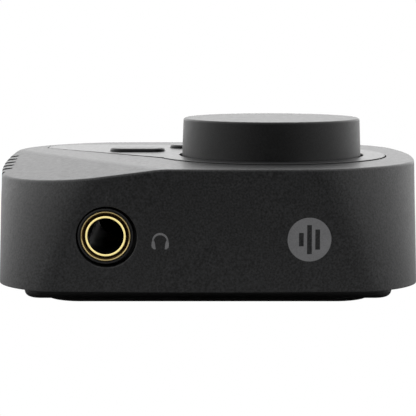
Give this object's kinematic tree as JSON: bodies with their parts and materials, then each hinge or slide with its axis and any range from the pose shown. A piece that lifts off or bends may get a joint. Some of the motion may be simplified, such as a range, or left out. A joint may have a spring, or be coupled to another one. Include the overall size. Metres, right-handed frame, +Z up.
{
  "type": "audio interface",
  "caption": "Compact desktop audio interface with a volume knob, push buttons, a headphone socket in front, and an input socket and USB-C port behind.",
  "frame": {"origin": "bottom centre of the object's bounding box, on the surface it stands on", "axes": "+X to the right as seen from the front, +Y from the front face to the back, +Z up"},
  "size_m": [0.0808, 0.0686, 0.0329],
  "materials": {
    "shell_graphite": "fine spark-eroded grain, satin",
    "inlay_graphite": "very fine satin",
    "knob_graphite": "soft-touch satin",
    "base_black": "fine grain, matte",
    "pad_rubber": "matte, non-slip",
    "button_rubber": "matte silicone",
    "jack_black": "satin",
    "gold_plate": "gold plated, turned",
    "steel": "zinc plated",
    "brass": "bare, machined or stamped",
    "board_green": "solder mask",
    "chip_black": "moulded",
    "can_aluminium": "drawn can"
  },
  "bodies": {
    "chassis": {"base_plate": "base_black", "base_screw_front_left": "steel", "base_screw_front_right": "steel", "base_screw_rear_left": "steel", "base_screw_rear_right": "steel", "board_link_header": "jack_black", "board_screw_front": "steel", "board_screw_left": "steel", "board_screw_rear": "steel", "board_screw_right": "steel", "codec_chip": "chip_black", "control_board": "board_green", "control_screw_left": "steel", "control_screw_right": "steel", "crystal_can": "can_aluminium", "encoder_body": "can_aluminium", "encoder_bush": "brass", "encoder_nut": "steel", "encoder_washer": "steel", "front_jack_housing": "jack_black", "front_jack_ring_contact": "brass", "front_jack_sleeve": "gold_plate", "front_jack_tip_contact": "brass", "headphone_amplifier_chip": "chip_black", "input_capacitor": "can_aluminium", "left_switch_body": "chip_black", "main_board": "board_green", "output_capacitor": "can_aluminium", "power_inductor": "jack_black", "rear_jack_housing": "jack_black", "rear_jack_ring_contact": "brass", "rear_jack_sleeve": "gold_plate", "rear_jack_tip_contact": "brass", "relay_block": "jack_black", "right_switch_body": "chip_black", "rubber_pad": "pad_rubber", "supply_capacitor": "can_aluminium", "top_inlay": "inlay_graphite", "top_shell": "shell_graphite", "usb_controller_chip": "chip_black", "usb_port_insulator": "jack_black", "usb_port_shell": "steel"},
    "knob": {"knob_cap": "knob_graphite", "knob_hub": "jack_black", "encoder_shaft": "steel"},
    "left_button": {"left_button_cap": "button_rubber", "left_switch_plunger": "jack_black"},
    "right_button": {"right_button_cap": "button_rubber", "right_switch_plunger": "jack_black"}
  },
  "joints": [
    {"name": "knob_turn", "type": "hinge", "parent": "chassis", "child": "knob", "pos_m": [0.01257, -0.0022, 0.0247], "axis": [0, 0, 1], "continuous": true},
    {"name": "left_button_press", "type": "slide", "parent": "chassis", "child": "left_button", "axis": [0, 0, -1], "range_m": [0, 0.0005], "stiffness_N_per_m": 800},
    {"name": "right_button_press", "type": "slide", "parent": "chassis", "child": "right_button", "axis": [0, 0, -1], "range_m": [0, 0.0005], "stiffness_N_per_m": 800}
  ]
}
